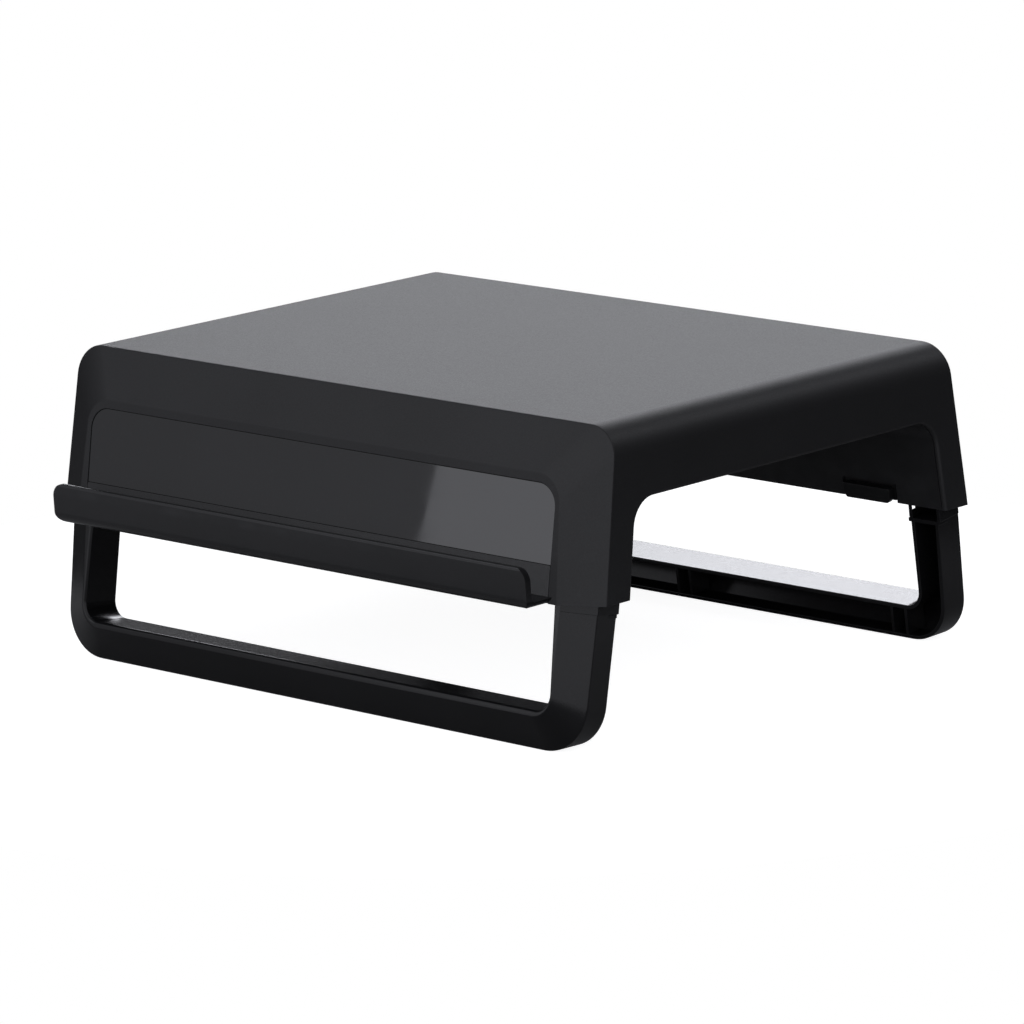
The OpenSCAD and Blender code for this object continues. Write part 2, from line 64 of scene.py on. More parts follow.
LEAN = radians(8.3)
LEAN_C, LEAN_N, LEAN_S = cos(LEAN), sin(LEAN), tan(LEAN)
SIDE_S = tan(radians(2))
HALF_FLOOR = COVER_HALF + SIDE_S * COVER_Z
WALL, TOP_WALL = 2.2, 2.6
EDGE_R, ARCH_R, FIELD_R = 16, 15, 14
ARCH_Z = COVER_Z + 46.9
LINER_T = 1.2
SLIDE_GAP = 0.4
TOP_DEPTH = 251.5
OUTLINE_Y = TOP_DEPTH / 2 + RISER_H * LEAN_S

LEG_SIDE_D, LEG_RIM_D = 15.4, 23.2
OUTLINE_D = LEG_SIDE_D + 0.8
SKIN_D = LEG_RIM_D + SLIDE_GAP
RECESS_D = SKIN_D + 2.9
PANEL_D = RECESS_D + 1.1
FIELD_D = PANEL_D + 0.4
CAVITY_D = OUTLINE_D - WALL / 2
LEG_Y = OUTLINE_Y - OUTLINE_D / LEAN_C

FIELD_IN_X, FIELD_IN_Z = 21, 23.4
FIELD_HALF = COVER_HALF - FIELD_IN_X
FIELD_Z = RISER_H - FIELD_IN_Z
FIELD_TAPER = 0.06
RISE = (SKIN_D - CAVITY_D) / (FIELD_D - OUTLINE_D)
CAVITY_HALF = COVER_HALF - WALL - FIELD_IN_X * RISE
CAVITY_Z = RISER_H - TOP_WALL - FIELD_IN_Z * RISE
LINER_FACE_D, LINER_BACK_D = -SLIDE_GAP - LINER_T, -SLIDE_GAP


def up_at(depth, z):
    return (z - depth * LEAN_N) / LEAN_C


LEG_HALF = COVER_HALF - 5.7
STEM_X = LEG_HALF - 21.6
LEG_WALL = 2.2
COLLAR_LOW = up_at(0, COVER_Z) - 7.4
LEG_TAPER, HOLE_FLARE = 0.036, -0.033
LEG_R, LEG_BACK_R, HOLE_R = 25, 22, 9
COLLAR_CUT = 2.2
HOLE_BACK_X, HOLE_RIM_X = STEM_X + 2.6, STEM_X + 0.3
RIM_X = STEM_X + 4.6
BAR_RIM_UP = up_at(LEG_RIM_D, 21)
BAR_BACK_UP = BAR_RIM_UP + 0.5
RIM_LOW_UP = BAR_RIM_UP - 3.3
FULL_UP = COLLAR_LOW + 17.6
STEM_TOP = up_at(0, COVER_Z) + 38
STEM_D = LEG_SIDE_D - 2.4
BAR_Z = 0.5
BOLT_LOW, BOLT_H, BOLT_TIP_D = COLLAR_LOW + 22.9, 4.8, 7
HEIGHT_STEP = 20

TAB_X1 = STEM_X - 6.2
TAB_X0 = TAB_X1 - 29.8
TAB_LOW = up_at(LINER_FACE_D, COVER_Z)
TAB_H, TAB_CUT = 7.8, 2
TAB_TRAVEL, TAB_CLEAR = 2.4, 0.3
WINDOW_TOP = TAB_LOW + TAB_H + 2
PLATE_TOP = BOLT_LOW + BOLT_H + 0.4
KEEPER_X = (TAB_X0 - 2, TAB_X1 - 16)
KEEPER_UP = PLATE_TOP + 6

TRAY_HALF = tray_high[0]
PANEL_HALF = panel_high[0]
PANEL_TOP = up_at(PANEL_D, FIELD_Z - 4.4)
TRAY_BACK_D = RECESS_D + 1.5
TRAY_FLOOR_Z = COVER_Z + 3.4
LIP_IN_Y = LEG_Y + TRAY_BACK_D / LEAN_C - LEAN_S * TRAY_FLOOR_Z + 14.7
LIP_Y = LIP_IN_Y + 3.6
LIP_Z = COVER_Z + 20.8
LIP_LEAN = 1.1

RIB_XS, RIB_HALF_Y, RIB_DEPTH = (-105, -52.5, 52.5, 105), 93, 10.5
SCREW_XS, SCREW_Y = (-105, 0, 105), 78


# ---------------------------------------------------------------- drawing
def on_face(x, up, depth):
    """A point given on the leaning front face, in the stand's own axes."""
    return Vector((x, -LEG_Y + up * LEAN_N - depth * LEAN_C, up * LEAN_C + depth * LEAN_N))


def corner(front, side):
    """Gives points of the face in one corner of the stand; both values are 1 or -1."""
    def place(u, v, w):
        p = on_face(u * side, v, w)
        return Vector((p.x, p.y * front, p.z))
    return place


def fillet(a, p, b, radius, steps):
    """Points of an arc that rounds the corner p between a and b."""
    u, v = a - p, b - p
    reach_limit = 0.46 * min(u.length, v.length)
    u, v = u.normalized(), v.normalized()
    half = u.angle(v) / 2
    if half > 1.53:
        e = min(radius * 0.5, reach_limit)
        return [p + u * e * (1 - 2 * k / steps) if 2 * k < steps else p + v * e * (2 * k / steps - 1)
                for k in range(steps + 1)]
    reach = min(radius / tan(half), reach_limit)
    r = reach * tan(half)
    centre = p + (u + v).normalized() * (r / sin(half))
    start, end = p + u * reach - centre, p + v * reach - centre
    sweep = start.angle(end)
    return [centre + (start * sin(sweep * (1 - k / steps)) + end * sin(sweep * k / steps)) / sin(sweep)
            for k in range(steps + 1)]


def rounded(points, radii, steps=4):
    """A closed flat outline with its corners rounded."""
    points = [Vector(p) for p in points]
    out = []
    for i, (p, r) in enumerate(zip(points, radii)):
        if r > 0:
            out += fillet(points[i - 1], p, points[(i + 1) % len(points)], r, steps)
        else:
            out.append(p)
    return out


def round_rows(rows, radii, steps=4, ring=False):
    """Rows of matching points, with the edge that each row forms rounded."""
    out = []
    n = len(rows)
    for i, r in enumerate(radii):
        if r > 0 and (ring or 0 < i < n - 1):
            arcs = [fillet(a, p, b, r, steps) for a, p, b in zip(rows[i - 1], rows[i], rows[(i + 1) % n])]
            out += [[arc[k] for arc in arcs] for k in range(steps + 1)]
        else:
            out.append(rows[i])
    return out


def arch(half, slope, low, top, r, leg=4, arc=12, across=6):
    """Points of an arch, from its right foot over the top to its left foot."""
    side = atan(slope)
    up = top - r
    cx = half - slope * up - r / cos(side)
    tx, ty = cx + r * cos(side), up + r * sin(side)
    x0 = half - slope * low
    right = [(x0 + (tx - x0) * k / leg, low + (ty - low) * k / leg) for k in range(leg)]
    for k in range(arc + 1):
        a = side + (pi / 2 - side) * k / arc
        right.append((cx + r * cos(a), up + r * sin(a)))
    middle = [(cx * (1 - 2 * k / across), top) for k in range(1, across)]
    return right + middle + [(-x, y) for x, y in reversed(right)]


def face_row(points, depth):
    return [on_face(x, up, depth) for x, up in points]


def turned(row):
    """The same row on the rear face."""
    return [Vector((v.x, -v.y, v.z)) for v in row]


class Shape:
    """Closed surfaces gathered into one mesh, in millimetres."""

    def __init__(self):
        self.bm = bmesh.new()

    def loft(self, rows, across_ring=True, along_ring=False):
        """Joins rows of matching points; caps close the open ends."""
        new = self.bm.verts.new
        rows = [[new(p) for p in row] for row in rows]
        n, m = len(rows), len(rows[0])
        for i in range(n if along_ring else n - 1):
            a, b = rows[i], rows[(i + 1) % n]
            for j in range(m if across_ring else m - 1):
                k = (j + 1) % m
                self.bm.faces.new((a[j], a[k], b[k], b[j]))
        if not along_ring:
            self.bm.faces.new(rows[0])
            self.bm.faces.new(rows[-1])
        if along_ring and not across_ring:
            self.bm.faces.new([row[0] for row in rows])
            self.bm.faces.new([row[-1] for row in rows])
        return self

    def prism(self, outline, place, low, high, soft=0.0):
        """A prism between two levels, with softened end edges; place(u, v, w) sets a point."""
        middle = sum((Vector(p) for p in outline), Vector((0, 0))) / len(outline)
        levels = [(low, 0), (high, 0)]
        if soft:
            levels = [(low, soft), (low + 0.3 * soft, 0.3 * soft), (low + soft, 0),
                      (high - soft, 0), (high - 0.3 * soft, 0.3 * soft), (high, soft)]
        rows = []
        for w, inset in levels:
            row = []
            for p in outline:
                p = Vector(p)
                away = p - middle
                if inset:
                    p = p - Vector((inset if away.x > 0 else -inset, inset if away.y > 0 else -inset))
                row.append(place(p.x, p.y, w))
            rows.append(row)
        return self.loft(rows)

    def box(self, x, y, z, place=None, soft=0.4):
        """A box with softened edges between pairs of limits."""
        place = place or (lambda u, v, w: Vector((u, v, w)))
        r = min(soft, *[0.45 * (b - a) for a, b in (x, y, z)])
        outline = rounded([(x[0], y[0]), (x[1], y[0]), (x[1], y[1]), (x[0], y[1])], [r] * 4, 2)
        return self.prism(outline, place, z[0], z[1], r * 0.6)

    def post(self, place, radius, low, high, sides=24, soft=0.2):
        """A round post with softened ends."""
        turns = [2 * pi * k / sides for k in range(sides)]
        outline = [(radius * cos(a), radius * sin(a)) for a in turns]
        rows = []
        for w, inset in ((low, soft), (low + soft, 0), (high - soft, 0), (high, soft)):
            rows.append([place(u * (1 - inset / radius), v * (1 - inset / radius), w) for u, v in outline])
        return self.loft(rows)

    def piece(self, name, front=True, right=True):
        """Makes the object, moved to one of the stand's corners and into metres."""
        move = Matrix.Scale(MM, 4) @ Matrix.Translation((0, ORIGIN_Y, 0))
        move = move @ Matrix.Diagonal((1 if right else -1, 1 if front else -1, 1, 1))
        bmesh.ops.transform(self.bm, matrix=move, verts=self.bm.verts)
        bmesh.ops.remove_doubles(self.bm, verts=self.bm.verts, dist=1e-7)
        bmesh.ops.recalc_face_normals(self.bm, faces=self.bm.faces)
        mesh = bpy.data.meshes.new(name)
        self.bm.to_mesh(mesh)
        self.bm.free()
        obj = bpy.data.objects.new(name, mesh)
        bpy.context.scene.collection.objects.link(obj)
        return obj


def combine(obj, other, operation):
    """Applies a boolean with another object, which is then removed."""
    mod = obj.modifiers.new("cut", "BOOLEAN")
    mod.operation = operation
    mod.solver = "MANIFOLD"
    mod.object = other
    bpy.context.view_layer.update()
    graph = bpy.context.evaluated_depsgraph_get()
    mesh = bpy.data.meshes.new_from_object(obj.evaluated_get(graph))
    obj.modifiers.clear()
    old = obj.data
    obj.data = mesh
    bpy.data.meshes.remove(old)
    bpy.data.objects.remove(other)


def end_name(front, right):
    return f"{'front' if front else 'rear'}_{'right' if right else 'left'}"


def dress(obj, material, body, nodes, sharp=32):
    """Smooth shading, material, and the piece's place in the frame."""
    mesh = obj.data
    mesh.polygons.foreach_set("use_smooth", [True] * len(mesh.polygons))
    mesh.set_sharp_from_angle(angle=radians(sharp))
    mod = obj.modifiers.new("even_shading", "WEIGHTED_NORMAL")
    mod.keep_sharp = True
    mod.weight = 80
    mesh.materials.clear()
    mesh.materials.append(material)
    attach(obj, body)
    if nodes:
        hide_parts(*nodes)


# ---------------------------------------------------------------- materials
class Nodes:
    """A small helper that adds and joins shader nodes."""

    def __init__(self, name):
        self.material = bpy.data.materials.new(name)
        self.material.use_nodes = True
        self.tree = self.material.node_tree
        self.tree.nodes.clear()

    def add(self, kind, **values):
        node = self.tree.nodes.new(kind)
        for key, value in values.items():
            if hasattr(node, key):
                setattr(node, key, value)
            else:
                node.inputs[key.replace("_", " ")].default_value = value
        return node

    def link(self, a, b):
        self.tree.links.new(a, b)

    def noise(self, scale, detail=2.0, rough=0.5):
        place = self.tree.nodes.get("place") or self.add("ShaderNodeTexCoord", name="place")
        node = self.add("ShaderNodeTexNoise", Scale=scale, Detail=detail, Roughness=rough)
        self.link(place.outputs["Object"], node.inputs["Vector"])
        return node.outputs["Fac"]

    def span(self, value, low, high, to_low, to_high):
        node = self.add("ShaderNodeMapRange")
        for key, number in (("From Min", low), ("From Max", high), ("To Min", to_low), ("To Max", to_high)):
            node.inputs[key].default_value = number
        self.link(value, node.inputs["Value"])
        return node.outputs["Result"]

    def mix(self, factor, a, b):
        node = self.add("ShaderNodeMix", data_type="RGBA")
        self.link(factor, node.inputs["Factor"])
        for value, socket in ((a, node.inputs[6]), (b, node.inputs[7])):
            if isinstance(value, tuple):
                socket.default_value = (*value, 1)
            else:
                self.link(value, socket)
        return node.outputs[2]

    def times(self, a, b):
        node = self.add("ShaderNodeMath", operation="MULTIPLY")
        self.link(a, node.inputs[0])
        if isinstance(b, (int, float)):
            node.inputs[1].default_value = b
        else:
            self.link(b, node.inputs[1])
        return node.outputs[0]


def moulded(name, colour, rough, grain, height, specular, wear=0.35, dust=0.25):
    """Moulded plastic: fine spark-eroded grain, cloudy sheen, dust, and worn edges."""
    n = Nodes(name)
    shader = n.add("ShaderNodeBsdfPrincipled")
    shader.inputs["IOR"].default_value = 1.49
    shader.inputs["Specular IOR Level"].default_value = specular
    out = n.add("ShaderNodeOutputMaterial")
    n.link(shader.outputs[0], out.inputs[0])

    cloud = n.span(n.noise(14, 3), 0.3, 0.7, 0, 1)
    fine = n.noise(grain, 2, 0.6)
    speck = n.span(n.noise(grain * 0.6, 1), 0.62, 0.75, 0, 1)
    darker = tuple(c * 0.82 for c in colour)
    lighter = tuple(c * 1.2 for c in colour)
    dusty = tuple(c * 1.6 + 0.004 for c in colour)
    base = n.mix(cloud, darker, lighter)
    base = n.mix(n.times(speck, dust), base, dusty)
    geometry = n.add("ShaderNodeNewGeometry")
    edge = n.span(geometry.outputs["Pointiness"], 0.53, 0.62, 0, wear)
    edge = n.times(edge, n.span(n.noise(90, 3), 0.4, 0.65, 0.2, 1))
    base = n.mix(edge, base, tuple(c * 2.4 + 0.006 for c in colour))
    n.link(base, shader.inputs["Base Color"])
    n.link(n.span(fine, 0.3, 0.7, rough - 0.05, rough + 0.05), shader.inputs["Roughness"])

    bump = n.add("ShaderNodeBump", Strength=1.0, Distance=height)
    n.link(fine, bump.inputs["Height"])
    n.link(bump.outputs[0], shader.inputs["Normal"])
    return n.material


def glossy_black(name):
    """Polished panel: near-black, with faint wipe marks and dust."""
    n = Nodes(name)
    shader = n.add("ShaderNodeBsdfPrincipled")
    shader.inputs["IOR"].default_value = 1.49
    shader.inputs["Specular IOR Level"].default_value = 0.5
    out = n.add("ShaderNodeOutputMaterial")
    n.link(shader.outputs[0], out.inputs[0])
    speck = n.span(n.noise(900, 1), 0.68, 0.76, 0, 0.5)
    cloud = n.span(n.noise(18, 3), 0.3, 0.7, 0, 1)
    base = n.mix(cloud, (0.0042, 0.0042, 0.0046), (0.0052, 0.0052, 0.0058))
    n.link(n.mix(speck, base, (0.02, 0.02, 0.02)), shader.inputs["Base Color"])
    n.link(n.span(n.noise(40, 4), 0.35, 0.65, 0.022, 0.045), shader.inputs["Roughness"])
    bump = n.add("ShaderNodeBump", Strength=1.0, Distance=0.000004)
    n.link(n.noise(25, 2), bump.inputs["Height"])
    n.link(bump.outputs[0], shader.inputs["Normal"])
    return n.material


def steel(name):
    """Zinc-plated steel of the screws."""
    n = Nodes(name)
    shader = n.add("ShaderNodeBsdfPrincipled", Metallic=1.0)
    out = n.add("ShaderNodeOutputMaterial")
    n.link(shader.outputs[0], out.inputs[0])
    n.link(n.mix(n.noise(300, 3), (0.42, 0.42, 0.44), (0.6, 0.6, 0.61)), shader.inputs["Base Color"])
    n.link(n.span(n.noise(1500, 3), 0.3, 0.7, 0.22, 0.42), shader.inputs["Roughness"])
    bump = n.add("ShaderNodeBump", Strength=0.6, Distance=0.00003)
    n.link(n.noise(2500, 2), bump.inputs["Height"])
    n.link(bump.outputs[0], shader.inputs["Normal"])
    return n.material


COVER = moulded("cover_plastic", (0.0062, 0.0062, 0.0068), 0.55, 1500, 0.00005, 0.37)
LEG = moulded("leg_plastic", (0.0055, 0.0055, 0.006), 0.22, 1700, 0.00001, 0.28)
TRAY = moulded("tray_plastic", (0.0062, 0.0062, 0.0068), 0.33, 1800, 0.00003, 0.42)
LINER = moulded("liner_plastic", (0.006, 0.006, 0.0066), 0.42, 1500, 0.00005, 0.42)
LATCH = moulded("latch_plastic", (0.005, 0.005, 0.0054), 0.34, 1800, 0.00003, 0.4)
RUBBER = moulded("foot_rubber", (0.011, 0.011, 0.011), 0.72, 900, 0.0001, 0.3, wear=0.1, dust=0.6)
STRAP = moulded("keeper_plastic", (0.02, 0.02, 0.021), 0.45, 1200, 0.00005, 0.4)
PANEL = glossy_black("gloss_panel")
STEEL = steel("screw_steel")


# ---------------------------------------------------------------- cover
def outline_row(depth, inset=0.0, top_inset=0.0, low=COVER_Z):
    """The cover's outline at one depth, or a smaller one."""
    points = arch(HALF_FLOOR - inset - SIDE_S * depth * LEAN_N, SIDE_S * LEAN_C, up_at(depth, low),
                  up_at(depth, RISER_H - top_inset), EDGE_R - inset)
    return face_row(points, depth)


def field_row(depth, half=FIELD_HALF, top=FIELD_Z, r=FIELD_R, low=COVER_Z):
    """The raised field's outline on the front face."""
    foot_half = half + FIELD_TAPER * up_at(depth, COVER_Z)
    points = arch(foot_half, FIELD_TAPER, up_at(depth, low), up_at(depth, top), r)
    return face_row(points, depth)


def inner_field(inset, depth):
    """The field's outline, moved inwards."""
    return field_row(depth, FIELD_HALF - inset, FIELD_Z - inset, FIELD_R - inset)


def panel_row(depth, grow, low):
    """The glossy panel's outline, or a larger one."""
    return face_row(arch(PANEL_HALF + grow, 0, low, PANEL_TOP + grow, FIELD_R - 3 + grow), depth)


def side_arch(grow, offset, side):
    """The side arch's outline, a little larger, at one distance inside the cover's side."""
    half = LEG_Y + LINER_FACE_D / LEAN_C + grow
    row = []
    for y, z in arch(half, LEAN_S, COVER_Z - 3, ARCH_Z + grow, ARCH_R + grow, leg=4, arc=10, across=4):
        row.append(Vector((side * (HALF_FLOOR - SIDE_S * z - offset), y, z)))
    return row


def make_shell():
    """The outer shell: lofted body, recess, hollow, side arches, and its ribs and bosses."""
    rows = [inner_field(6, FIELD_D - 0.04), field_row(FIELD_D), outline_row(OUTLINE_D)]
    rows += [turned(row) for row in reversed(rows)]
    shell = Shape().loft(round_rows(rows, [0, 1.6, 0.9, 0.9, 1.2, 0], 5)).piece("cover_shell")

    opening = [(RECESS_D, 0), (FIELD_D - 0.25, 0), (FIELD_D - 0.08, 0.06),
               (FIELD_D + 0.1, 0.3), (FIELD_D + 2, 0.3)]
    rows = [panel_row(depth, grow + 0.12, up_at(FIELD_D, COVER_Z) - 3) for depth, grow in opening]
    combine(shell, Shape().loft(rows).piece("cutter"), "DIFFERENCE")

    low = COVER_Z - 6
    cavity = [field_row(SKIN_D, CAVITY_HALF, CAVITY_Z, FIELD_R, low),
              outline_row(CAVITY_D, WALL, TOP_WALL, low)]
    cavity += [turned(row) for row in reversed(cavity)]
    combine(shell, Shape().loft(cavity).piece("cutter"), "DIFFERENCE")

    edge, steps = 1.9, 6
    for side in (-1, 1):
        rows = [side_arch(0, 40, side)]
        for k in range(steps + 1):
            a = pi / 2 * k / steps
            rows.append(side_arch(edge * (1 - cos(a)), edge * (1 - sin(a)) - 0.03, side))
        rows.append(side_arch(edge + 0.5, -4, side))
        combine(shell, Shape().loft(rows).piece("cutter"), "DIFFERENCE")

    ribs = Shape()
    top = RISER_H - TOP_WALL + 0.5
    for x in RIB_XS:
        ribs.box((x - 0.9, x + 0.9), (-RIB_HALF_Y, RIB_HALF_Y), (top - RIB_DEPTH, top), soft=0.3)
    for y in (-40, 0, 40):
        ribs.box((8 - STEM_X, STEM_X - 8), (y - 0.9, y + 0.9), (top - RIB_DEPTH + 0.1, top - 0.1), soft=0.3)
    for x in SCREW_XS:
        for y in (-SCREW_Y, SCREW_Y):
            ribs.post(lambda u, v, w, x=x, y=y: Vector((x + u, y + v, w)), 4.2, ARCH_Z + LINER_T, top)
    dress(ribs.piece("cover_ribs"), COVER, "cover", ())
    dress(shell, COVER, "cover", ("outer_shell",))


def make_liner():
    """The inner wall: front and rear walls, the ceiling, the latch windows and ribs."""
    back, face = LEG_Y + LINER_BACK_D / LEAN_C, LEG_Y + LINER_FACE_D / LEAN_C
    outer = arch(back, LEAN_S, COVER_Z, ARCH_Z + LINER_T, ARCH_R + LINER_T)
    inner = arch(face, LEAN_S, COVER_Z, ARCH_Z, ARCH_R)
    profile = outer + list(reversed(inner))
    inset = WALL + SLIDE_GAP
    rows = [[Vector((side * (HALF_FLOOR - SIDE_S * z - inset), y, z)) for y, z in profile]
            for side in (1, -1)]
    liner = Shape().loft(rows).piece("cover_liner")
    corners = [corner(front, side) for front in (1, -1) for side in (1, -1)]
    windows = Shape()
    for place in corners:
        windows.box((TAB_X0 - 2, TAB_X1 + TAB_TRAVEL + TAB_CLEAR), (TAB_LOW - 12, WINDOW_TOP),
                    (LINER_FACE_D - 1, LINER_BACK_D + 1), place, soft=0.0001)
    combine(liner, windows.piece("cutter"), "DIFFERENCE")
    inside = Shape()
    ceiling = ARCH_Z + LINER_T
    for y in (-62, -20, 20, 62):
        inside.box((-STEM_X, STEM_X), (y - 0.8, y + 0.8), (ceiling - 0.5, ceiling + 6), soft=0.3)
    for place in corners:
        for x in KEEPER_X:
            inside.post(lambda u, v, w, x=x, place=place: place(x + u, KEEPER_UP + v, w),
                        3.2, LINER_BACK_D - 0.5, 2.0)
        inside.box((STEM_X - 2.2, STEM_X - 0.6), (up_at(0, COVER_Z) + 2, BOLT_LOW - 0.6),
                   (LINER_BACK_D - 0.5, 11.1), place, soft=0.3)
    dress(inside.piece("liner_ribs"), LINER, "cover", ())
    dress(liner, LINER, "cover", ("inner_shell",))


def make_panel():
    """The glossy inset, with a fine rounded edge."""
    low = up_at(RECESS_D, panel_low[2])
    edge = [(RECESS_D, 0), (PANEL_D - 0.3, 0), (PANEL_D - 0.12, -0.05),
            (PANEL_D - 0.03, -0.15), (PANEL_D, -0.35)]
    panel = Shape().loft([panel_row(depth, grow, low) for depth, grow in edge]).piece("device_panel_gloss")
    dress(panel, PANEL, "cover", ("device_panel",))


def make_tray():
    """Floor and lip as one rounded profile, and a thin plate up the recess."""
    def back_y(depth, z):
        return -(LEG_Y + depth / LEAN_C - LEAN_S * z)
    d = FIELD_D + 0.15
    profile = rounded(
        [(back_y(d, COVER_Z), COVER_Z), (back_y(d, TRAY_FLOOR_Z), TRAY_FLOOR_Z), (-LIP_IN_Y, TRAY_FLOOR_Z),
         (-LIP_IN_Y - LIP_LEAN, LIP_Z), (-LIP_Y - LIP_LEAN, LIP_Z), (-LIP_Y, COVER_Z)],
        [0, 0, 3.2, 1.7, 1.7, 6.2], 8)
    rows = [[Vector((x, y, z)) for y, z in profile] for x in (TRAY_HALF, -TRAY_HALF)]
    tray = Shape().loft(rows).piece("device_tray_lip")

    low = COVER_Z - 0.01
    end = rounded([(-TRAY_HALF, low), (TRAY_HALF, low), (TRAY_HALF, LIP_Z), (-TRAY_HALF, LIP_Z)],
                  [5.6, 5.6, 7, 7], 12)
    rows = [[Vector((x, y, z)) for x, z in end] for y in (-LIP_Y - 9, -LEG_Y + 30)]
    combine(tray, Shape().loft(rows).piece("cutter"), "INTERSECT")
    mod = tray.modifiers.new("soft_edges", "BEVEL")
    mod.width = 0.0015
    mod.segments = 4
    mod.limit_method = "ANGLE"
    mod.angle_limit = radians(40)

    plate = Shape()
    low, high = up_at(RECESS_D, COVER_Z), up_at(RECESS_D, COVER_Z) + 17.8 / LEAN_C
    plate.box((-PANEL_HALF, PANEL_HALF), (low, high), (RECESS_D, TRAY_BACK_D), on_face, soft=0.5)
    plate.box((0.1 - PANEL_HALF, PANEL_HALF - 0.1), (low + 0.3, low + 3),
              (RECESS_D + 0.1, FIELD_D + 0.6), on_face, soft=0.3)
    back = plate.piece("device_tray_back")
    # The lip is kept out of reflections, so that the panel doesn't mirror it.
    tray.visible_glossy = False
    dress(back, TRAY, "cover", ("device_tray",))
    dress(tray, TRAY, "cover", (), 40)


# ---------------------------------------------------------------- legs
def u_row(half, taper, low, r, depth):
    """A row that runs down one upright, along the bar and up the other."""
    points = arch(half - taper * COLLAR_LOW, taper, -COLLAR_LOW, -low, r, leg=3, arc=14, across=6)
    return [on_face(x, -y, depth) for x, y in points]


def make_leg_frame(front):
    """The U-shaped channel with its ribs, and the two stems with their bolt slots."""
    w = LEG_WALL
    back, side = LEG_HALF - 1.5, LEG_HALF - 0.3
    back_up, side_up = up_at(0, BAR_Z), up_at(LEG_SIDE_D, BAR_Z)
    rows = [
        u_row(back, LEG_TAPER, back_up, LEG_BACK_R, 0),
        u_row(side, LEG_TAPER, side_up, LEG_R, LEG_SIDE_D),
        u_row(RIM_X, LEG_TAPER, RIM_LOW_UP, HOLE_R + 3, LEG_RIM_D),
        u_row(HOLE_RIM_X + 0.9, HOLE_FLARE, BAR_RIM_UP - 0.9, HOLE_R + 0.9, LEG_RIM_D),
        u_row(HOLE_RIM_X, HOLE_FLARE, BAR_RIM_UP, HOLE_R, LEG_RIM_D - 1.4),
        u_row(HOLE_BACK_X, 0, BAR_BACK_UP, HOLE_R, 0),
        u_row(HOLE_BACK_X + w, 0, BAR_BACK_UP - w, HOLE_R + w, 0),
        u_row(HOLE_RIM_X + w, HOLE_FLARE, BAR_RIM_UP - w, HOLE_R + w, LEG_RIM_D - w),
        u_row(RIM_X, LEG_TAPER, RIM_LOW_UP, HOLE_R + 3, LEG_RIM_D - w),
        u_row(side - w, LEG_TAPER, side_up + w, LEG_R - w, LEG_SIDE_D - w),
        u_row(back - w, LEG_TAPER, back_up + w, LEG_BACK_R - w, 0),
    ]
    radii = [0.5, 1.1, 1.0, 0.8, 0.8, 0.6, 0.5, 0.3, 0.3, 0.8, 0.5]
    frame_shape = Shape()
    frame_shape.loft(round_rows(rows, radii, 4, ring=True), across_ring=False, along_ring=True)

    rib = 1.8
    for x in (4.3, -4.3, STEM_X - 7.5, STEM_X - 16.5, 7.5 - STEM_X, 16.5 - STEM_X):
        frame_shape.box((x - rib / 2, x + rib / 2), (w, BAR_RIM_UP - 0.6),
                        (0.4, LEG_SIDE_D - 1.8), on_face, soft=0.25)
    for s in (1, -1):
        for up in (COLLAR_LOW - 2, FULL_UP - w - 2):
            frame_shape.box((STEM_X + 1, STEM_X + 20.6), (up, up + 2), (0.2, STEM_D - 2),
                            corner(1, s), soft=0.25)
    legs = frame_shape.piece("leg_frame_front" if front else "leg_frame_rear", front)

    stems = Shape()
    for s in (1, -1):
        def face(u, v, up, s=s):
            return on_face(s * u, up, v)

        def ring(out, deep, rim):
            points = [(STEM_X + COLLAR_CUT, 0), (STEM_X, COLLAR_CUT), (STEM_X, rim - 1.6),
                      (STEM_X + 1.2, rim), (RIM_X, rim), (out, deep), (out, 0),
                      (out - w, 0), (out - w, deep - w - 0.6), (RIM_X, rim - w - 0.6),
                      (STEM_X + w, rim - w - 0.6),
                      (STEM_X + w, COLLAR_CUT), (STEM_X + w + COLLAR_CUT, 0)]
            return rounded(points, [0.4, 0.4, 0.5, 0.5, 1.2, 1.0, 0.4, 0.4, 0.5, 0.5, 0.5, 0.4, 0.3], 3)

        collar = [ring(LEG_HALF - e, LEG_SIDE_D - e * 0.6, LEG_RIM_D) for e in (0.35, 0.1, 0, 0)]
        levels = (COLLAR_LOW, COLLAR_LOW + 0.1, COLLAR_LOW + 0.4, FULL_UP)
        stems.loft([[face(u, v, level) for u, v in row] for row, level in zip(collar, levels)])
        upper = [(FULL_UP - 1, LEG_HALF), (STEM_TOP - 8, LEG_HALF), (STEM_TOP, LEG_HALF - 8)]
        rows = []
        for level, out in upper:
            row = rounded([(STEM_X, 0), (STEM_X, STEM_D), (out, STEM_D), (out, 0),
                           (out - w, 0), (out - w, STEM_D - w),
                           (STEM_X + w, STEM_D - w), (STEM_X + w, 0)], [0.4] * 8, 2)
            rows.append([face(u, v, level) for u, v in row])
        stems.loft(rows)
    stem_piece = stems.piece("stems_front" if front else "stems_rear", front)
    slots = Shape()
    for s in (1, -1):
        for up in (BOLT_LOW, BOLT_LOW - HEIGHT_STEP):
            slots.box((STEM_X - 1, STEM_X + w + 1), (up - 0.3, up + BOLT_H + 0.3),
                      (1.6, BOLT_TIP_D + 0.4), corner(1, s), soft=0.0001)
    combine(stem_piece, slots.piece("cutter", front), "DIFFERENCE")
    body = "front_frame" if front else "rear_frame"
    dress(stem_piece, LEG, body, ())
    dress(legs, LEG, body, ("front_leg_frame" if front else "rear_leg_frame",))


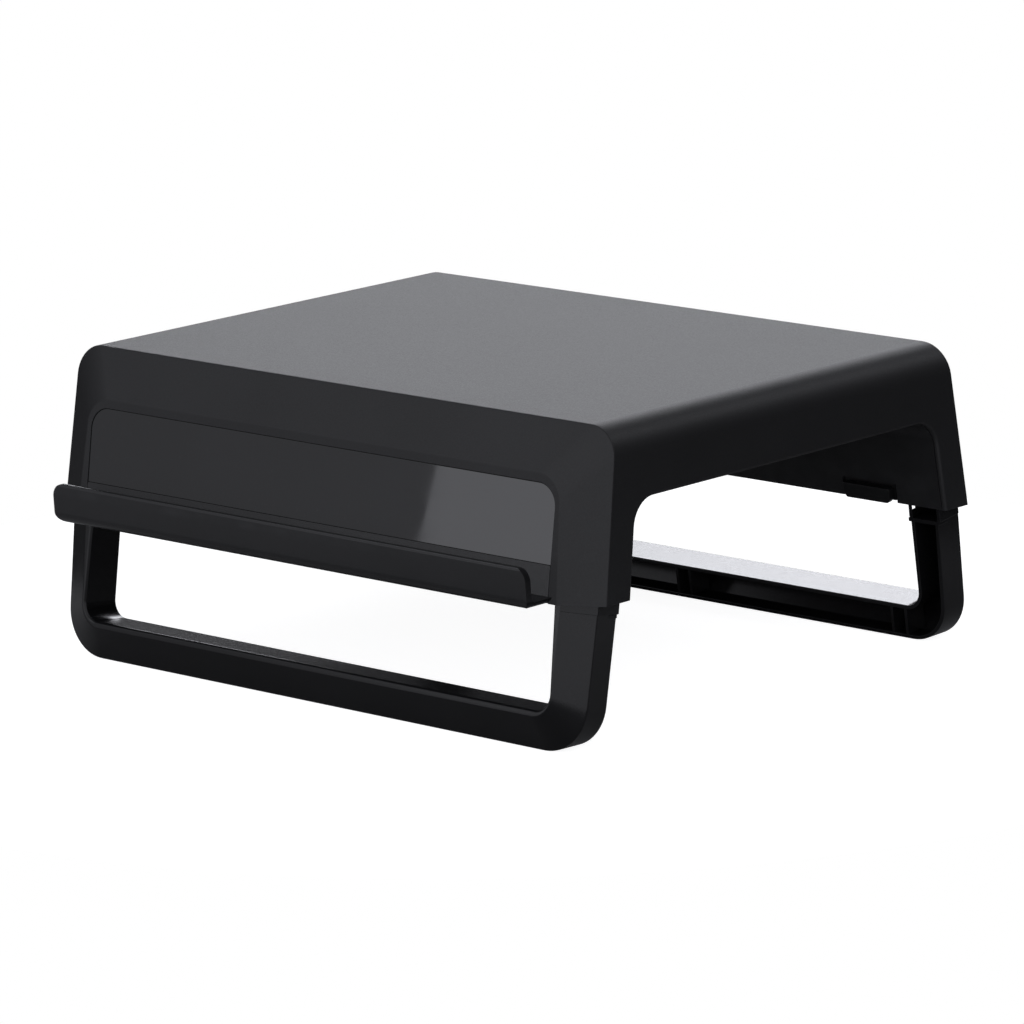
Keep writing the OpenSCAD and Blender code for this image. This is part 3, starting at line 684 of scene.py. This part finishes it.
def make_foot(front, right):
    """A rubber strip with round ends and a soft lower edge."""
    length, r = 21, 4.5
    half = length / 2 - r
    x, y = STEM_X - 15, -LEG_Y - LEG_SIDE_D / 2 / LEAN_C
    outline = []
    for k in range(33):
        a = -pi / 2 + pi * k / 32
        outline.append((half + r * cos(a), r * sin(a)))
    outline += [(-u, -v) for u, v in outline]
    rows = []
    for z, inset in ((0, 0.7), (0.12, 0.3), (0.45, 0.06), (0.8, 0), (BAR_Z + 0.7, 0)):
        k = 1 - inset / r
        rows.append([Vector((x + u * k, y + v * k, z)) for u, v in outline])
    name = "foot_" + end_name(front, right)
    foot = Shape().loft(rows).piece(name + "_pad", front, right)
    dress(foot, RUBBER, "front_frame" if front else "rear_frame", (name,))


def make_latch(front, right):
    """Thumb tab, sliding plate and bolt."""
    s = Shape()
    outline = rounded([(TAB_X0, TAB_LOW + TAB_CUT), (TAB_X0 + TAB_CUT, TAB_LOW),
                       (TAB_X1 - TAB_CUT, TAB_LOW), (TAB_X1, TAB_LOW + TAB_CUT),
                       (TAB_X1, TAB_LOW + TAB_H), (TAB_X0, TAB_LOW + TAB_H)], [0.8] * 6, 3)
    s.prism(outline, on_face, LINER_FACE_D - 2.8, LINER_BACK_D + 0.25, 0.45)
    plate = LINER_BACK_D + 0.2
    s.box((TAB_X0 - 5, TAB_X1 + 1), (TAB_LOW + 0.6, PLATE_TOP), (plate, plate + 2), on_face, soft=0.4)
    s.box((TAB_X1 - 8, STEM_X - 0.3), (BOLT_LOW, BOLT_LOW + BOLT_H),
          (plate + 1.9, BOLT_TIP_D), on_face, soft=0.5)
    end = end_name(front, right)
    latch = s.piece(f"latch_{end}_slider", front, right)
    dress(latch, LATCH, f"{end}_latch", (f"latch_{end}",))


make_shell()
make_liner()
make_panel()
make_tray()
for front in (True, False):
    make_leg_frame(front)
    for right in (True, False):
        make_foot(front, right)
        make_latch(front, right)

for name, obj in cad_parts.items():
    finish = STEEL if name.endswith("_screws") else STRAP if name.startswith("keeper_") else None
    if finish:
        for slot in obj.material_slots:
            slot.material = finish


# ---------------------------------------------------------------- studio
def lit_surface(name, colour, glow):
    """Floor colour that the camera sees as white paper, with the shadow kept."""
    n = Nodes(name)
    diffuse = n.add("ShaderNodeBsdfDiffuse", Color=(colour, colour, colour, 1), Roughness=1.0)
    bright = n.add("ShaderNodeEmission", Color=(1, 1, 1, 1), Strength=glow)
    both = n.add("ShaderNodeAddShader")
    pick = n.add("ShaderNodeMixShader")
    path = n.add("ShaderNodeLightPath")
    out = n.add("ShaderNodeOutputMaterial")
    n.link(diffuse.outputs[0], both.inputs[0])
    n.link(bright.outputs[0], both.inputs[1])
    n.link(path.outputs["Is Camera Ray"], pick.inputs[0])
    n.link(diffuse.outputs[0], pick.inputs[1])
    n.link(both.outputs[0], pick.inputs[2])
    n.link(pick.outputs[0], out.inputs[0])
    return n.material


def make_floor():
    """A disc of paper under the stand; beyond it the backdrop shows."""
    bm = bmesh.new()
    bmesh.ops.create_circle(bm, cap_ends=True, segments=96, radius=FLOOR_R)
    mesh = bpy.data.meshes.new("floor")
    bm.to_mesh(mesh)
    bm.free()
    floor = bpy.data.objects.new("floor", mesh)
    bpy.context.scene.collection.objects.link(floor)
    mesh.materials.append(lit_surface("paper_floor", FLOOR_GREY, FLOOR_GLOW))


def make_world():
    """A dim studio, brighter in front of the stand.

    Camera and transmission rays see a white backdrop, and glossy rays a patch
    of it behind the stand.
    """
    world = bpy.data.worlds.new("studio")
    bpy.context.scene.world = world
    world.use_nodes = True
    tree = world.node_tree
    tree.nodes.clear()
    add, link = tree.nodes.new, tree.links.new
    place = add("ShaderNodeTexCoord")

    def towards(axis, limits, smooth_to=(0, 1)):
        """A smooth step of how far a ray points along an axis."""
        dot = add("ShaderNodeVectorMath")
        dot.operation = "DOT_PRODUCT"
        dot.inputs[1].default_value = axis
        link(place.outputs["Generated"], dot.inputs[0])
        span = add("ShaderNodeMapRange")
        span.interpolation_type = "SMOOTHSTEP"
        for key, value in zip(("From Min", "From Max", "To Min", "To Max"), (*limits, *smooth_to)):
            span.inputs[key].default_value = value
        link(dot.outputs["Value"], span.inputs["Value"])
        return span.outputs["Result"]

    def math(operation, a, b):
        node = add("ShaderNodeMath")
        node.operation = operation
        link(a, node.inputs[0])
        link(b, node.inputs[1])
        return node.outputs[0]

    studio, white = add("ShaderNodeBackground"), add("ShaderNodeBackground")
    white.inputs["Color"].default_value = (1, 1, 1, 1)
    studio.inputs["Color"].default_value = (*LIGHT_TINT, 1)
    link(towards(FRONT_AXIS, FRONT_LIMITS, (WORLD_DIM, WORLD_FRONT)), studio.inputs["Strength"])
    path, mix, out = add("ShaderNodeLightPath"), add("ShaderNodeMixShader"), add("ShaderNodeOutputWorld")
    mirrored = math("MULTIPLY", path.outputs["Is Glossy Ray"], towards(BACKDROP_AXIS, BACKDROP_LIMITS))
    seen = math("MAXIMUM", path.outputs["Is Camera Ray"], path.outputs["Is Transmission Ray"])
    link(math("MAXIMUM", seen, mirrored), mix.inputs[0])
    link(studio.outputs[0], mix.inputs[1])
    link(white.outputs[0], mix.inputs[2])
    link(mix.outputs[0], out.inputs[0])


def area_light(name, place, target, size, radiance, roll=0):
    """A softbox whose surface has the given radiance."""
    data = bpy.data.lights.new(name, "AREA")
    data.shape = "RECTANGLE"
    data.color = LIGHT_TINT
    data.size, data.size_y = size
    data.energy = radiance * pi * size[0] * size[1]
    obj = bpy.data.objects.new(name, data)
    bpy.context.scene.collection.objects.link(obj)
    obj.location = place
    turn = (Vector(target) - Vector(place)).to_track_quat("-Z", "Y")
    obj.rotation_euler = (turn @ Quaternion((0, 0, 1), radians(roll))).to_euler()
    obj.visible_camera = False


FLOOR_R, FLOOR_GREY, FLOOR_GLOW = 0.42, 0.4, 0.9
WORLD_DIM, WORLD_FRONT = 0.05, 1.22
FRONT_AXIS, FRONT_LIMITS = (0.3, -0.88, 0.35), (-0.05, 0.95)
BACKDROP_AXIS, BACKDROP_LIMITS = (-0.6, 0.66, 0.45), (0.97, 0.99)
LIGHT_TINT = (0.955, 0.965, 1.03)
make_floor()
make_world()
aim = (0, 0, 0.1)
area_light("back_softbox", (-1.35, 1.65, 1.06), aim, (1.8, 0.5), 6.2)
area_light("rear_card", (0.55, 1.05, 1.04), aim, (0.45, 0.3), 6)
area_light("top_softbox", (-0.8, -0.7, 1.6), aim, (1.0, 1.0), 1.2)
area_light("front_card", (-0.5845, -1.0977, 0.103), (0.14, -0.137, 0.103), (0.3, 0.24), 1.3, roll=-3.2)


# ---------------------------------------------------------------- camera
def make_camera():
    """A long lens, a little turned about its own axis."""
    azimuth, elevation, roll = radians(42.27), radians(12.55), radians(-1.24)
    data = bpy.data.cameras.new("camera")
    data.sensor_width = 36
    data.lens = 216.9
    data.clip_end = 30
    camera = bpy.data.objects.new("camera", data)
    bpy.context.scene.collection.objects.link(camera)
    back = Vector((sin(azimuth) * cos(elevation), -cos(azimuth) * cos(elevation), sin(elevation)))
    flat = Vector((cos(azimuth), sin(azimuth), 0))
    rise = back.cross(flat)
    right = flat * cos(roll) + rise * sin(roll)
    up = rise * cos(roll) - flat * sin(roll)
    turn = Matrix((right, up, back)).transposed().to_4x4()
    camera.matrix_world = Matrix.Translation((2.0474, -2.2460, 0.7479)) @ turn
    bpy.context.scene.camera = camera


make_camera()
bpy.context.scene.view_settings.view_transform = "Standard"
